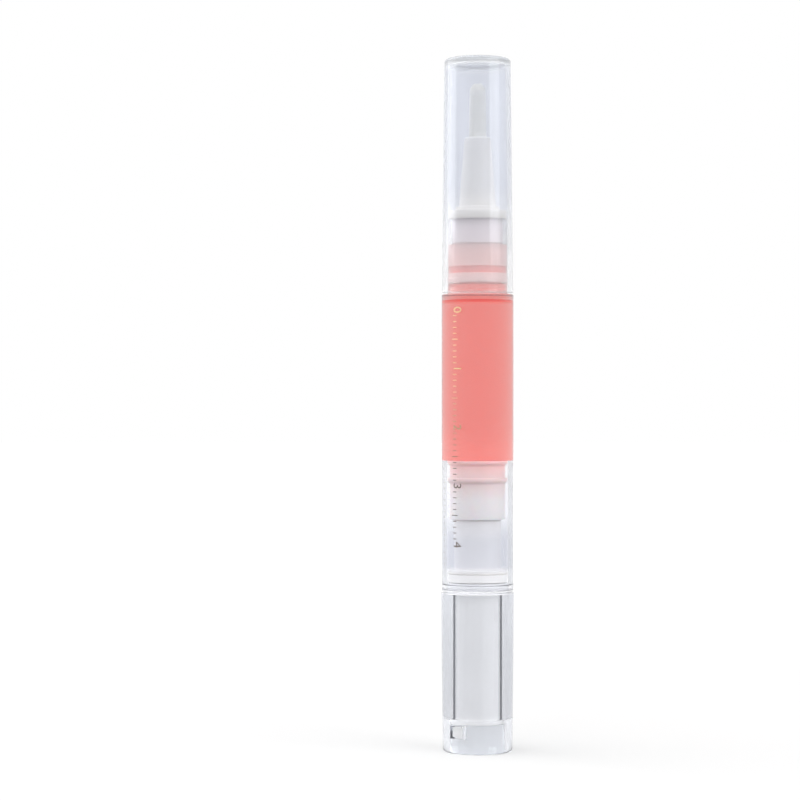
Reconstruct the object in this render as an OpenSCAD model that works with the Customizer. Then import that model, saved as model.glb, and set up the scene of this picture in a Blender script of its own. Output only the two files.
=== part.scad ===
// Twist-up nail oil pen with a brush tip, standing on the end of its knob.
// Origin at the centre of the foot, +Z along the pen towards the cap.
// The knob turns the drive sleeve, the sleeve turns the lead screw, and the screw climbs
// through a nut fixed in the barrel and pushes the piston up. A click ring lets it turn one way.

/* [Barrel] */
// Outside diameter of the clear barrel
barrel_d = 13; // [12.9:0.1:14]
// Length of the barrel from its lower rim to its shoulder
barrel_len = 53.5; // [50:0.5:60]
// Wall of the barrel
barrel_wall = 1; // [0.9:0.05:1.1]
// Thickness of the shoulder under the neck
shoulder_t = 1; // [0.8:0.1:1.6]
// Rounding of the barrel's outer edges
barrel_edge_r = 0.25; // [0.1:0.05:0.4]
// Outside diameter of the neck
neck_d = 10.7; // [10.4:0.1:11]
// Length of the neck above the shoulder
neck_len = 13.5; // [12.5:0.5:15]
// Wall of the neck
neck_wall = 0.75; // [0.6:0.05:0.9]
// Rise of the round bead on the neck that grips the cap
neck_bead = 0.1; // [0.05:0.01:0.12]
// Height of the neck bead
neck_bead_h = 1; // [0.6:0.1:1.4]
// Height of the neck bead above the shoulder
neck_bead_lift = 2.1; // [1.6:0.1:4]

/* [Cap] */
// Length of the cap
cap_len = 42.3; // [41:0.1:48]
// Outside diameter of the cap at its mouth
cap_mouth_d = 12.9; // [12.7:0.1:13]
// Outside diameter of the cap at its closed end
cap_top_d = 12; // [11.6:0.1:12.6]
// Wall of the cap at its closed end
cap_wall = 0.85; // [0.7:0.05:1]
// Thickness of the end wall
cap_end_t = 0.95; // [0.7:0.05:1.4]
// Rounding of the cap's closed end
cap_edge_r = 0.6; // [0.3:0.1:0.8]
// Rounding of the rim at the mouth
cap_rim_r = 0.15; // [0.05:0.05:0.25]
// Length of the straight land inside the mouth
cap_land = 16; // [15.5:0.1:20]

/* [Nozzle] */
// Step from the neck's outside in to the flange that sits on it
flange_inset = 0.05; // [0.02:0.01:0.3]
// Thickness of the flange
flange_t = 1.6; // [1:0.1:2.2]
// Diameter of the raised step on the flange
step_d = 7.9; // [7.2:0.1:9]
// Height of the raised step
step_h = 0.7; // [0.4:0.1:1.2]
// Height of the cone above the step
cone_h = 12.6; // [11:0.1:14]
// Diameter of the cone at its foot
cone_foot_d = 6.7; // [6:0.1:7]
// Diameter of the cone under its rounded tip
cone_top_d = 4.8; // [4.6:0.1:5.4]
// Rounding of the cone's tip
tip_r = 0.4; // [0.2:0.05:0.4]
// Length of the plug inside the neck
plug_len = 11.5; // [9:0.1:12]
// Length of the plug's sealing land
seal_len = 4.3; // [3:0.1:5]
// Gap between the neck's bore and the plug below the sealing land
plug_gap = 0.45; // [0.3:0.05:0.6]
// Height of the ring at the plug's lower end
plug_ring_h = 1.8; // [1:0.1:2.4]
// Gap between the neck's bore and the plug's lower ring
plug_ring_gap = 0.2; // [0.1:0.05:0.25]
// Width of the groove above the plug's lower ring
groove_w = 1.2; // [0.8:0.1:2]
// Depth of that groove
groove_depth = 0.6; // [0.3:0.1:0.9]
// Diameter of the feed bore through the nozzle
feed_bore_d = 2.4; // [2:0.1:3]
// Height at which the feed bore narrows, above the flange's seat
feed_bore_top = 5; // [3:0.5:7]

/* [Brush] */
// Diameter of the bundle of bristles
brush_d = 3.2; // [2.8:0.1:3.3]
// Length of the bristles outside the nozzle
brush_out = 10.3; // [8:0.1:11]
// Drop of the outer bristles' ends below the brush's tip
brush_dome = 1.3; // [0.6:0.1:2]
// Thickness of one bristle
bristle_t = 0.1; // [0.06:0.01:0.1]
// Number of bristles
bristle_count = 320; // [300:10:340]
// Depth of the collar's socket in the nozzle
collar_len = 4; // [3:0.1:5]
// Wall of the collar round the bristles
collar_wall = 0.2; // [0.15:0.05:0.3]
// Thickness of the fused backing of the bristles
backing_t = 1; // [0.6:0.1:1.4]
// Outside diameter of the feed tube
feed_tube_d = 1; // [0.8:0.05:1.1]
// Wall of the feed tube
feed_tube_wall = 0.2; // [0.15:0.05:0.3]
// Length of the feed tube inside the bristles, above the nozzle
feed_tube_out = 2.4; // [1:0.1:5]

/* [Piston] */
// Gap between the nut and the piston before the first turn
piston_lift = 0.3; // [0.2:0.1:2]
// Height of the piston
piston_h = 10.4; // [9:0.1:12]
// Thickness of the piston's crown above the screw's head
crown_t = 2.85; // [2.2:0.05:3.2]
// Height of each sealing lip
lip_h = 1; // [0.6:0.1:1.2]
// Height of the piston's lower lip above its lower end
low_lip_lift = 6.2; // [5:0.1:7]
// Depth of the waist between the lips
waist_depth = 0.45; // [0.2:0.05:0.7]

/* [Lead screw] */
// Depth of the screw's two flats
screw_flat_depth = 0.6; // [0.4:0.05:0.8]
// Step from the screw's flats in to the neck under its head
screw_neck_step = 0.1; // [0.05:0.05:0.4]
// Length of that neck
screw_neck_len = 1.1; // [0.8:0.1:1.4]
// Height of the screw's head
screw_head_h = 2.4; // [2:0.1:2.8]
// Diameter of the flat on top of the head
screw_head_top_d = 3; // [2:0.1:4]

/* [Screw nut] */
// Height of the nut's top above the barrel's rim
nut_seat = 12.9; // [12:0.1:14]
// Height of the nut's threaded body above its skirt
nut_h = 3.3; // [2.8:0.1:4]
// Thickness of the flange at the foot of the nut's skirt
nut_flange_t = 0.8; // [0.6:0.1:1.6]
// Outside diameter of the nut's body and skirt
nut_d = 8.5; // [8.4:0.1:9]

/* [Ratchet] */
// Number of teeth in the ratchet ring
tooth_count = 20; // [16:4:24]
// Height of the ratchet ring
ratchet_h = 1.4; // [1.2:0.1:2.2]
// Wall of the ratchet ring behind its teeth
ratchet_wall = 0.5; // [0.4:0.05:0.55]
// Depth of the teeth
tooth_depth = 0.32; // [0.25:0.01:0.35]
// Number of spring arms on the click ring
arm_count = 4; // [2:2:4]
// Angle that each spring arm spans
arm_span = 62; // [50:1:68]
// Thickness of a spring arm
arm_t = 0.22; // [0.18:0.01:0.24]
// Room for the spring arms to bend inwards
arm_room = 0.3; // [0.28:0.01:0.4]
// Wall of the click ring's hub
hub_wall = 0.3; // [0.25:0.01:0.32]

/* [Drive sleeve] */
// Gap between the sleeve and the knob's bore
sleeve_gap = 0.15; // [0.05:0.05:0.3]
// Wall of the sleeve's stem round the screw
stem_wall = 0.8; // [0.6:0.05:1]
// Thickness of the sleeve's foot flange
foot_t = 0.8; // [0.6:0.1:1.2]
// Depth of the stem's two flats that carry the click ring
stem_flat_depth = 0.2; // [0.1:0.05:0.3]
// Length of the sleeve's double-flat socket
drive_len = 7.5; // [6:0.1:7.5]
// Width of the notches in the foot flange that the knob's ribs hold
notch_w = 1.6; // [1.2:0.1:2]
// Depth of those notches
notch_depth = 0.5; // [0.4:0.05:0.6]

/* [Knob] */
// Length of the knob that shows
knob_len = 28.7; // [26:0.1:30]
// Outside diameter of the knob at the barrel
knob_top_d = 13.2; // [13:0.1:14]
// Outside diameter of the knob at its foot
knob_base_d = 12.6; // [12.4:0.1:13]
// Rounding of the knob's foot
knob_edge_r = 0.5; // [0.2:0.1:0.6]
// Rounding of the knob's upper edge
knob_top_edge_r = 0.2; // [0.1:0.05:0.3]
// Diameter of the knob's bore
knob_bore_d = 8.8; // [8.7:0.1:9]
// Height of the knob's collar inside the barrel
knob_collar_h = 1.8; // [1.6:0.1:2]
// Rise of the collar's snap bead
snap_rise = 0.2; // [0.1:0.05:0.25]
// Height of the snap bead
snap_h = 0.7; // [0.5:0.1:0.8]
// Diameter of the recess in the knob's foot
recess_d = 10; // [9.8:0.1:10.2]
// Depth of that recess
recess_depth = 6; // [5:0.1:6.4]

/* [End plug] */
// Depth of the end plug inside the knob's rim
plug_inset = 0.3; // [0.1:0.1:0.5]
// Thickness of the end plug's disc
disc_t = 1.1; // [0.8:0.1:1.2]
// Wall of the end plug's skirt
skirt_wall = 0.85; // [0.6:0.05:1]
// Width of the knob's two latch windows
window_w = 2.8; // [2.4:0.1:3.6]
// Height of the latch windows
window_h = 2.4; // [2:0.1:2.8]
// Drop from the ceiling of the knob's recess to the windows
window_drop = 0.9; // [0.8:0.1:1.2]
// Direction of the first window, seen from above
window_angle = 230; // [0:5:355]
// Depth of the latches inside the knob's outer surface
latch_inset = 0.35; // [0.2:0.05:0.6]

/* [Fits] */
// Gap between the knob's shoulder and the barrel's rim
turn_gap = 0.2; // [0.1:0.05:0.3]
// Gap between the cap's rim and the barrel's shoulder
cap_gap = 0.3; // [0.1:0.05:0.4]
// Gap between the knob's collar and the ratchet ring
ratchet_gap = 0.15; // [0.1:0.05:0.4]
// Radial play of the cap's land on the neck
cap_play = 0.15; // [0.13:0.01:0.2]
// Radial play of the knob's collar in the barrel
collar_play = 0.08; // [0.04:0.01:0.1]
// Radial play of pieces that are pushed together
push_play = 0.03; // [0.01:0.01:0.04]
// Radial play of pieces that slide or turn in each other
slide_play = 0.05; // [0.03:0.01:0.08]
// Play round the screw in its sleeve
sleeve_play = 0.15; // [0.1:0.01:0.2]
// Gap between the ends of inner pieces
end_gap = 0.3; // [0.1:0.05:0.4]
// Gap between the oil and the walls that hold it
oil_gap = 0.03; // [0.01:0.01:0.05]

/* [Hidden] */

$fn = 72;
// How far a cut runs past the faces that it goes through
overrun = 1;
// Straight steps in one rounded edge
edge_steps = 4;

// Radii
barrel_r = barrel_d / 2;
bore_r = barrel_r - barrel_wall;
neck_r = neck_d / 2;
neck_bore_r = neck_r - neck_wall;
land_r = neck_r + cap_play;
collar_r = bore_r - collar_play;
snap_r = collar_r + snap_rise;
knob_bore_r = knob_bore_d / 2;
recess_r = recess_d / 2;
ratchet_r = bore_r - push_play;
tooth_root_r = ratchet_r - ratchet_wall;
tooth_tip_r = tooth_root_r - tooth_depth;
tooth_pitch = 360 / tooth_count;
stem_r = tooth_tip_r - slide_play - arm_t - arm_room - hub_wall - push_play;
stem_flats = 2 * (stem_r - stem_flat_depth);
skirt_r = nut_d / 2;
screw_r = stem_r - stem_wall - slide_play;
screw_flats = 2 * (screw_r - screw_flat_depth);
screw_neck_r = screw_flats / 2 - screw_neck_step;
brush_r = brush_d / 2;
socket_r = brush_r + slide_play + collar_wall + push_play;
feed_tube_r = feed_tube_d / 2;

// Heights, from the foot up
foot_z = recess_depth - foot_t;
window_z = recess_depth - window_drop - window_h;
barrel_z = knob_len + turn_gap;
collar_top_z = knob_len + knob_collar_h;
snap_z = (barrel_z + collar_top_z) / 2;
ratchet_z = collar_top_z + ratchet_gap;
ratchet_top_z = ratchet_z + ratchet_h;
nut_top_z = barrel_z + nut_seat;
nut_body_z = nut_top_z - nut_h;
skirt_z = ratchet_top_z + slide_play;
stem_top_z = nut_body_z - end_gap;
piston_z = nut_top_z + piston_lift;
piston_top_z = piston_z + piston_h;
socket_top_z = piston_top_z - crown_t;
head_top_z = socket_top_z - slide_play;
head_z = head_top_z - screw_head_h;
shank_top_z = head_z - screw_neck_len;
screw_z = recess_depth + end_gap;
shoulder_z = barrel_z + barrel_len;
roof_z = shoulder_z - shoulder_t;
neck_top_z = shoulder_z + neck_len;
cap_z = shoulder_z + cap_gap;
cap_top_z = cap_z + cap_len;
plug_z = neck_top_z - plug_len;
flange_top_z = neck_top_z + flange_t;
cone_z = flange_top_z + step_h;
nozzle_top_z = cone_z + cone_h;
socket_z = nozzle_top_z - collar_len;
brush_top_z = nozzle_top_z + brush_out;

// Share of a tooth's pitch that the nose of a spring arm fills
nose_share = 0.45;
// Share of a spring arm's span that its root fills
root_share = 0.14;
// Straight steps along a spring arm
arm_steps = 8;

// The screw's head sits behind a lip inside the piston
head_r = screw_r;
head_socket_r = head_r + slide_play;
lip_bore_r = screw_neck_r + slide_play;

// Points on an arc of radius r round c, from angle a to angle b
function arc(c, r, a, b) =
    [for (i = [0:edge_steps]) c + r * [cos(a + (b - a) * i / edge_steps), sin(a + (b - a) * i / edge_steps)]];

// A solid turned from an outline of [radius, height] points
module turned(outline) {
    rotate_extrude() polygon(outline);
}

// A plain cylinder between two heights
module post(r, low, high) {
    translate([0, 0, low]) cylinder(h = high - low, r = r);
}

// A round bore between two heights
module bore(r, low, high) {
    post(r, low, high);
}

// A round bar with two flats, or the hole for one
module flatted(r, flats, low, high) {
    intersection() {
        post(r, low, high);
        translate([-2 * r, -flats / 2, low]) cube([4 * r, flats, high - low]);
    }
}

module cap() {
    mouth_r = cap_mouth_d / 2;
    top_r = cap_top_d / 2;
    land_top_z = cap_z + cap_land;
    ceiling_z = cap_top_z - cap_end_t;
    inner_r = top_r - cap_wall;
    color("aliceblue", 0.35)
    turned(concat(
        arc([land_r + cap_rim_r, cap_z + cap_rim_r], cap_rim_r, 180, 270),
        arc([mouth_r - cap_rim_r, cap_z + cap_rim_r], cap_rim_r, 270, 360),
        arc([top_r - cap_edge_r, cap_top_z - cap_edge_r], cap_edge_r, 0, 90),
        [[0, cap_top_z], [0, ceiling_z]],
        arc([inner_r - cap_edge_r, ceiling_z - cap_edge_r], cap_edge_r, 90, 0),
        [[land_r, land_top_z]]
    ));
}

// Every bristle is a thin three-sided pin, tapered to its end. They lie on a sunflower
// spiral that all of them follow at every height, so that none crosses another.
module bristles() {
    backing_z = socket_z + end_gap;
    root_z = backing_z + backing_t / 2;
    belly_z = nozzle_top_z + brush_out / 3;
    clear_r = feed_tube_r + slide_play + bristle_t;
    spread_r = brush_r - bristle_t / 2;
    turn = 180 * (3 - sqrt(5));
    level_share = [1, 1.02, 0.9];
    taper_share = [1, 1, 0.5];
    radius = [for (k = [0:bristle_count - 1])
        sqrt(clear_r ^ 2 + (spread_r ^ 2 - clear_r ^ 2) * (k + 0.5) / bristle_count)];
    points = [for (k = [0:bristle_count - 1], level = [0:2], side = [0:2])
        let (
            end_z = brush_top_z - brush_dome * (radius[k] / spread_r) ^ 2,
            at = radius[k] * level_share[level],
            thick = bristle_t / 2 * taper_share[level],
            z = [root_z, belly_z, end_z][level]
        )
        [
            at * cos(k * turn) + thick * cos(side * 120 + k * turn),
            at * sin(k * turn) + thick * sin(side * 120 + k * turn),
            z
        ]];
    faces = [for (k = [0:bristle_count - 1])
        let (b = 9 * k)
        each concat(
            [[b, b + 1, b + 2], [b + 6, b + 8, b + 7]],
            [for (level = [0, 3], side = [0:2])
                let (low = b + level + side, next = b + level + (side + 1) % 3)
                each [[low, low + 3, next], [next, low + 3, next + 3]]]
        )];
    color("ivory")
    union() {
        polyhedron(points, faces);
        difference() {
            post(brush_r, backing_z, backing_z + backing_t, $fn = 32);
            bore(feed_tube_r + slide_play, backing_z - overrun, backing_z + backing_t + overrun, $fn = 24);
        }
    }
}

// Thin sleeve that is crimped round the bristles and pushed into the nozzle
module brush_collar() {
    color("whitesmoke")
    difference() {
        post(socket_r - push_play, socket_z, nozzle_top_z - collar_wall);
        bore(brush_r + slide_play, socket_z + collar_wall, nozzle_top_z);
        bore(feed_tube_r + slide_play, socket_z - overrun, nozzle_top_z);
    }
}

// Fine tube that leads the oil from the nozzle's bore into the bristles
module feed_tube() {
    low = neck_top_z + feed_bore_top;
    high = nozzle_top_z + feed_tube_out;
    color("white")
    difference() {
        post(feed_tube_r, low, high);
        bore(feed_tube_r - feed_tube_wall, low - overrun, high + overrun);
    }
}

module nozzle() {
    flange_r = neck_r - flange_inset;
    step_r = step_d / 2;
    foot_r = cone_foot_d / 2;
    top_r = cone_top_d / 2;
    plug_r = neck_bore_r - plug_gap;
    ring_r = neck_bore_r - plug_ring_gap;
    seal_r = neck_bore_r - push_play;
    seal_z = neck_top_z - seal_len;
    ring_top_z = plug_z + plug_ring_h;
    groove_top_z = ring_top_z + groove_w;
    narrow_z = neck_top_z + feed_bore_top;
    edge = tip_r / 2;
    color("white")
    difference() {
        turned(concat(
            [
                [0, plug_z],
                [ring_r - edge, plug_z],
                [ring_r, plug_z + edge],
                [ring_r, ring_top_z],
                [plug_r - groove_depth, ring_top_z],
                [plug_r - groove_depth, groove_top_z],
                [plug_r, groove_top_z],
                [plug_r, seal_z - edge],
                [seal_r, seal_z],
                [seal_r, neck_top_z]
            ],
            arc([flange_r - edge, neck_top_z + edge], edge, -90, 0),
            arc([flange_r - edge, flange_top_z - edge], edge, 0, 90),
            [[step_r, flange_top_z], [step_r, cone_z - edge]],
            arc([step_r - edge, cone_z - edge], edge, 0, 90),
            [[foot_r, cone_z]],
            arc([top_r - tip_r, nozzle_top_z - tip_r], tip_r, 0, 90),
            [[0, nozzle_top_z]]
        ));
        bore(feed_bore_d / 2, plug_z - overrun, narrow_z);
        bore(feed_tube_r + push_play, plug_z, nozzle_top_z);
        bore(socket_r, socket_z, nozzle_top_z + overrun);
    }
}

// Oil that has filled the neck under and round the nozzle's plug
module neck_oil() {
    plug_r = neck_bore_r - plug_gap + oil_gap;
    ring_r = neck_bore_r - plug_ring_gap + oil_gap;
    ring_top_z = plug_z + plug_ring_h;
    groove_top_z = ring_top_z + groove_w;
    film_z = neck_top_z - seal_len - tip_r / 2 - oil_gap;
    color("salmon", 0.8)
    difference() {
        post(neck_bore_r - oil_gap, roof_z, film_z);
        turned([
            [0, plug_z - oil_gap],
            [ring_r, plug_z - oil_gap],
            [ring_r, ring_top_z + oil_gap],
            [plug_r - groove_depth, ring_top_z + oil_gap],
            [plug_r - groove_depth, groove_top_z - oil_gap],
            [plug_r, groove_top_z - oil_gap],
            [plug_r, film_z + overrun],
            [0, film_z + overrun]
        ]);
    }
}

module barrel() {
    groove_r = snap_r + collar_play;
    groove_h = snap_h + 2 * collar_play;
    bead_z = shoulder_z + neck_bead_lift;
    entry = barrel_edge_r;
    color("aliceblue", 0.35)
    difference() {
        turned(concat(
            [[0, barrel_z]],
            arc([barrel_r - barrel_edge_r, barrel_z + barrel_edge_r], barrel_edge_r, -90, 0),
            arc([barrel_r - barrel_edge_r, shoulder_z - barrel_edge_r], barrel_edge_r, 0, 90),
            [
                [neck_r, shoulder_z],
                [neck_r, bead_z],
                [neck_r + neck_bead, bead_z + neck_bead_h / 3],
                [neck_r + neck_bead, bead_z + neck_bead_h * 2 / 3],
                [neck_r, bead_z + neck_bead_h],
                [neck_r, neck_top_z],
                [0, neck_top_z]
            ]
        ));
        turned([
            [0, barrel_z - overrun],
            [bore_r + entry, barrel_z - overrun],
            [bore_r + entry, barrel_z],
            [bore_r, barrel_z + entry],
            [bore_r, snap_z - groove_h / 2],
            [groove_r, snap_z - groove_h / 2],
            [groove_r, snap_z + groove_h / 2],
            [bore_r, snap_z + groove_h / 2],
            [bore_r, roof_z - shoulder_t / 2],
            [neck_bore_r, roof_z],
            [neck_bore_r, neck_top_z + overrun],
            [0, neck_top_z + overrun]
        ]);
    }
}

// Oil between the piston and the neck
module oil_column() {
    r = bore_r - oil_gap;
    low = piston_top_z + oil_gap;
    cone_low = roof_z - shoulder_t / 2 - oil_gap;
    color("salmon", 0.8)
    turned([
        [0, low],
        [r, low],
        [r, cone_low],
        [neck_bore_r - oil_gap, roof_z - oil_gap],
        [0, roof_z - oil_gap]
    ]);
}

// Piston with two sealing lips, snapped over the screw's head
module piston() {
    lip_r = bore_r - slide_play;
    waist_r = lip_r - waist_depth;
    low_lip_z = piston_z + low_lip_lift;
    top_lip_z = piston_top_z - lip_h;
    catch_z = head_z - slide_play;
    color("white", 0.8)
    difference() {
        turned([
            [0, piston_z],
            [waist_r, piston_z],
            [waist_r, low_lip_z],
            [lip_r, low_lip_z + lip_h / 2],
            [lip_r, low_lip_z + lip_h],
            [waist_r, low_lip_z + lip_h],
            [waist_r, top_lip_z],
            [lip_r, top_lip_z + lip_h / 2],
            [lip_r, piston_top_z],
            [0, piston_top_z]
        ]);
        bore(head_socket_r, catch_z, socket_top_z);
        bore(lip_bore_r, piston_z, catch_z + overrun);
        bore(screw_r + sleeve_play, piston_z - overrun, shank_top_z + slide_play);
    }
}

// The thread's two flats run along the shank. The thread itself stays plain here.
module lead_screw() {
    color("white")
    union() {
        flatted(screw_r, screw_flats, screw_z, shank_top_z);
        post(screw_neck_r, screw_z, head_z + screw_head_h / 4);
        turned([
            [0, head_z],
            [head_r, head_z],
            [head_r, head_z + screw_head_h / 4],
            [screw_head_top_d / 2, head_top_z],
            [0, head_top_z]
        ]);
    }
}

// Nut fixed in the barrel by the flange at its foot, with a skirt that guides the sleeve's stem
module screw_nut() {
    flange_r = bore_r - push_play;
    flange_top_z = skirt_z + nut_flange_t;
    entry = nut_flange_t / 4;
    color("white")
    difference() {
        turned([
            [0, skirt_z],
            [flange_r - entry, skirt_z],
            [flange_r, skirt_z + entry],
            [flange_r, flange_top_z - entry],
            [flange_r - entry, flange_top_z],
            [skirt_r, flange_top_z],
            [skirt_r, nut_top_z - entry],
            [skirt_r - entry, nut_top_z],
            [0, nut_top_z]
        ]);
        bore(stem_r + 2 * slide_play, skirt_z - overrun, nut_body_z);
        bore(screw_r + slide_play, skirt_z, nut_top_z + overrun);
    }
}

// Radius of the ratchet's straight ramp at an angle after the steep face of its tooth
function ramp_r(angle) = tooth_root_r * tooth_tip_r * sin(tooth_pitch)
    / (tooth_tip_r * sin(tooth_pitch - angle) + tooth_root_r * sin(angle));

// Saw teeth inside a ring that is pushed into the barrel. The steep face of each tooth
// stops the spring arms, and its ramp lets them pass.
module ratchet_ring() {
    teeth = [for (i = [0:tooth_count - 1])
        let (low = i * tooth_pitch, high = low + tooth_pitch)
        each [
            tooth_root_r * [cos(low), sin(low)],
            tooth_tip_r * [cos(high), sin(high)]
        ]];
    color("lavender")
    difference() {
        post(ratchet_r, ratchet_z, ratchet_top_z);
        translate([0, 0, ratchet_z - overrun])
            linear_extrude(ratchet_h + 2 * overrun) polygon(teeth);
    }
}

// A spring arm, from its root on the hub to the tooth at its free end. The tooth lies
// just after a steep face and follows the ramp that it rests on.
module spring_arm(hub_mid_r) {
    outer_r = tooth_tip_r - slide_play;
    inner_r = outer_r - arm_t;
    face = asin(slide_play / tooth_root_r);
    nose = tooth_pitch * nose_share;
    root = arm_span * (1 - root_share);
    polygon(concat(
        [for (i = [0:arm_steps]) let (a = face + (arm_span - face) * i / arm_steps)
            inner_r * [cos(a), sin(a)]],
        [for (i = [arm_steps:-1:1]) let (a = nose + (arm_span - nose) * i / arm_steps)
            outer_r * [cos(a), sin(a)]],
        [for (a = [nose, face]) (ramp_r(a) - slide_play) * [cos(a), sin(a)]]
    ));
    polygon(concat(
        [for (a = [root, arm_span]) hub_mid_r * [cos(a), sin(a)]],
        [for (a = [arm_span, root]) (inner_r + arm_t / 2) * [cos(a), sin(a)]]
    ));
}

// Ring of spring arms on the sleeve's stem. Its bore has the stem's two flats.
module click_ring() {
    hub_r = stem_r + push_play;
    low = ratchet_z + slide_play;
    h = ratchet_h - 2 * slide_play;
    color("white")
    union() {
        difference() {
            post(hub_r + hub_wall, low, low + h);
            flatted(hub_r, stem_flats + 2 * push_play, low - overrun, low + h + overrun);
        }
        for (i = [0:arm_count - 1]) rotate([0, 0, i * 360 / arm_count])
            translate([0, 0, low]) linear_extrude(h) spring_arm(hub_r + hub_wall / 2);
    }
}

// Sleeve that the knob turns. The screw slides in its socket, whose flats turn the screw.
module drive_sleeve() {
    foot_r = recess_r - push_play;
    color("white", 0.6)
    difference() {
        union() {
            difference() {
                post(foot_r, foot_z, recess_depth);
                for (side = [0, 180]) rotate([0, 0, window_angle + side])
                    translate([-notch_w / 2, foot_r - notch_depth, foot_z - overrun])
                        cube([notch_w, recess_r, recess_depth]);
            }
            post(knob_bore_r - sleeve_gap, foot_z, collar_top_z);
            flatted(stem_r, stem_flats, collar_top_z, stem_top_z);
        }
        bore(screw_r + sleeve_play, foot_z - overrun, stem_top_z - drive_len);
        flatted(screw_r + slide_play, screw_flats + 2 * slide_play, foot_z, stem_top_z + overrun);
    }
}

module knob() {
    top_r = knob_top_d / 2;
    base_r = knob_base_d / 2;
    rib_w = notch_w - 2 * slide_play;
    rib_depth = notch_depth - slide_play;
    color("aliceblue", 0.35)
    difference() {
        turned(concat(
            [[0, 0]],
            arc([base_r - knob_edge_r, knob_edge_r], knob_edge_r, -90, 0),
            arc([top_r - knob_top_edge_r, knob_len - knob_top_edge_r], knob_top_edge_r, 0, 90),
            [
                [collar_r, knob_len],
                [collar_r, snap_z - snap_h / 2],
                [snap_r, snap_z - snap_h / 4],
                [snap_r, snap_z + snap_h / 4],
                [collar_r, snap_z + snap_h / 2],
                [collar_r, collar_top_z],
                [0, collar_top_z]
            ]
        ));
        bore(knob_bore_r, recess_depth - overrun, collar_top_z + overrun);
        difference() {
            bore(recess_r, -overrun, recess_depth);
            for (side = [0, 180]) rotate([0, 0, window_angle + side])
                translate([-rib_w / 2, recess_r - rib_depth, foot_z]) cube([rib_w, recess_r, foot_t]);
        }
        for (side = [0, 180]) rotate([0, 0, window_angle + side])
            translate([0, -window_w / 2, window_z]) cube([knob_base_d, window_w, window_h]);
    }
}

// Plug that closes the knob's foot and holds the sleeve's foot flange from below
module end_plug() {
    plug_r = recess_r - push_play;
    skirt_top_z = foot_z - slide_play;
    latch_w = window_w - 2 * end_gap;
    latch_h = window_h - 2 * end_gap;
    color("aliceblue", 0.5)
    union() {
        difference() {
            post(plug_r, plug_inset, skirt_top_z);
            bore(plug_r - skirt_wall, plug_inset + disc_t, skirt_top_z + overrun);
        }
        for (side = [0, 180]) rotate([0, 0, window_angle + side])
            intersection() {
                translate([plug_r - skirt_wall, -latch_w / 2, window_z + end_gap])
                    cube([knob_base_d, latch_w, latch_h]);
                post(knob_base_d / 2 - latch_inset, 0, recess_depth);
            }
    }
}

cap();
bristles();
brush_collar();
feed_tube();
nozzle();
neck_oil();
barrel();
oil_column();
piston();
lead_screw();
screw_nut();
ratchet_ring();
click_ring();
drive_sleeve();
knob();
end_plug();
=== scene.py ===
import math
import random

import bpy
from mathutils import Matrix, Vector


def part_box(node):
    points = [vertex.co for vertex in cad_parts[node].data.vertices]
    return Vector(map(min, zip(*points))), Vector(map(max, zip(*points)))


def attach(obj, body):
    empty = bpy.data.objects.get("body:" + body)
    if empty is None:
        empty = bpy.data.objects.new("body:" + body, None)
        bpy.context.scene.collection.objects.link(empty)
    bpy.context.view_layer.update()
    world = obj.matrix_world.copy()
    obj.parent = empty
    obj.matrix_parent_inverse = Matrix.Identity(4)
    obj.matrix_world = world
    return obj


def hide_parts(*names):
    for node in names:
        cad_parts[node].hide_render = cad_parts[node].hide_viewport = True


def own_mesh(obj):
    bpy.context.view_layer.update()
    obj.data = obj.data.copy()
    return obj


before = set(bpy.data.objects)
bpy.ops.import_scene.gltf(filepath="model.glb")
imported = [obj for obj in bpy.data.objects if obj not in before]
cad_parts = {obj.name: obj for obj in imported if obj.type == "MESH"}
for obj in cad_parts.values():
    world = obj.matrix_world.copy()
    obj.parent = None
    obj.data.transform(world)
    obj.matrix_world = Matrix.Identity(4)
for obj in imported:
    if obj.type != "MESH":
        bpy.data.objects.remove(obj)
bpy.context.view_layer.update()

# Barrel
# A clear moulded tube of 13 mm with a 1 mm wall, which holds the oil. Its narrower neck carries
# the nozzle inside and the cap outside, and a groove near its lower rim takes the knob's bead.
MM = 0.001
AXIS = (0, 0, 1)
rim, neck_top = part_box("barrel")
oil_low, oil_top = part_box("oil_column")
neck_oil_low, neck_oil_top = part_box("neck_oil")
oil_gap = 0.03 * MM
wet = 0.02 * MM
barrel_r = neck_top.x
bore_r = oil_top.x + oil_gap
neck_r = 5.35 * MM
neck_bore_r = neck_oil_top.x + oil_gap
shoulder_z = 82.4 * MM
roof_z = neck_oil_low.z
shoulder_cone = 0.5 * MM
groove_r = 5.7 * MM
groove_low = 29.27 * MM
groove_high = 30.13 * MM
bead_rise = 0.1 * MM
bead_low = 84.5 * MM
bead_high = 85.5 * MM
bead_slope = 0.3 * MM
rim_chamfer = 0.25 * MM
plastic_ior = 1.49
streak_depth = 0.00015 * MM
deep_tone = (0.5, 0.575, 0.725)
clearest = 0.95
moulded_round = 0.12 * MM
bore_reach = 0.05 * MM
tint_low = 28 * MM
tint_high = 54 * MM


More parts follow.
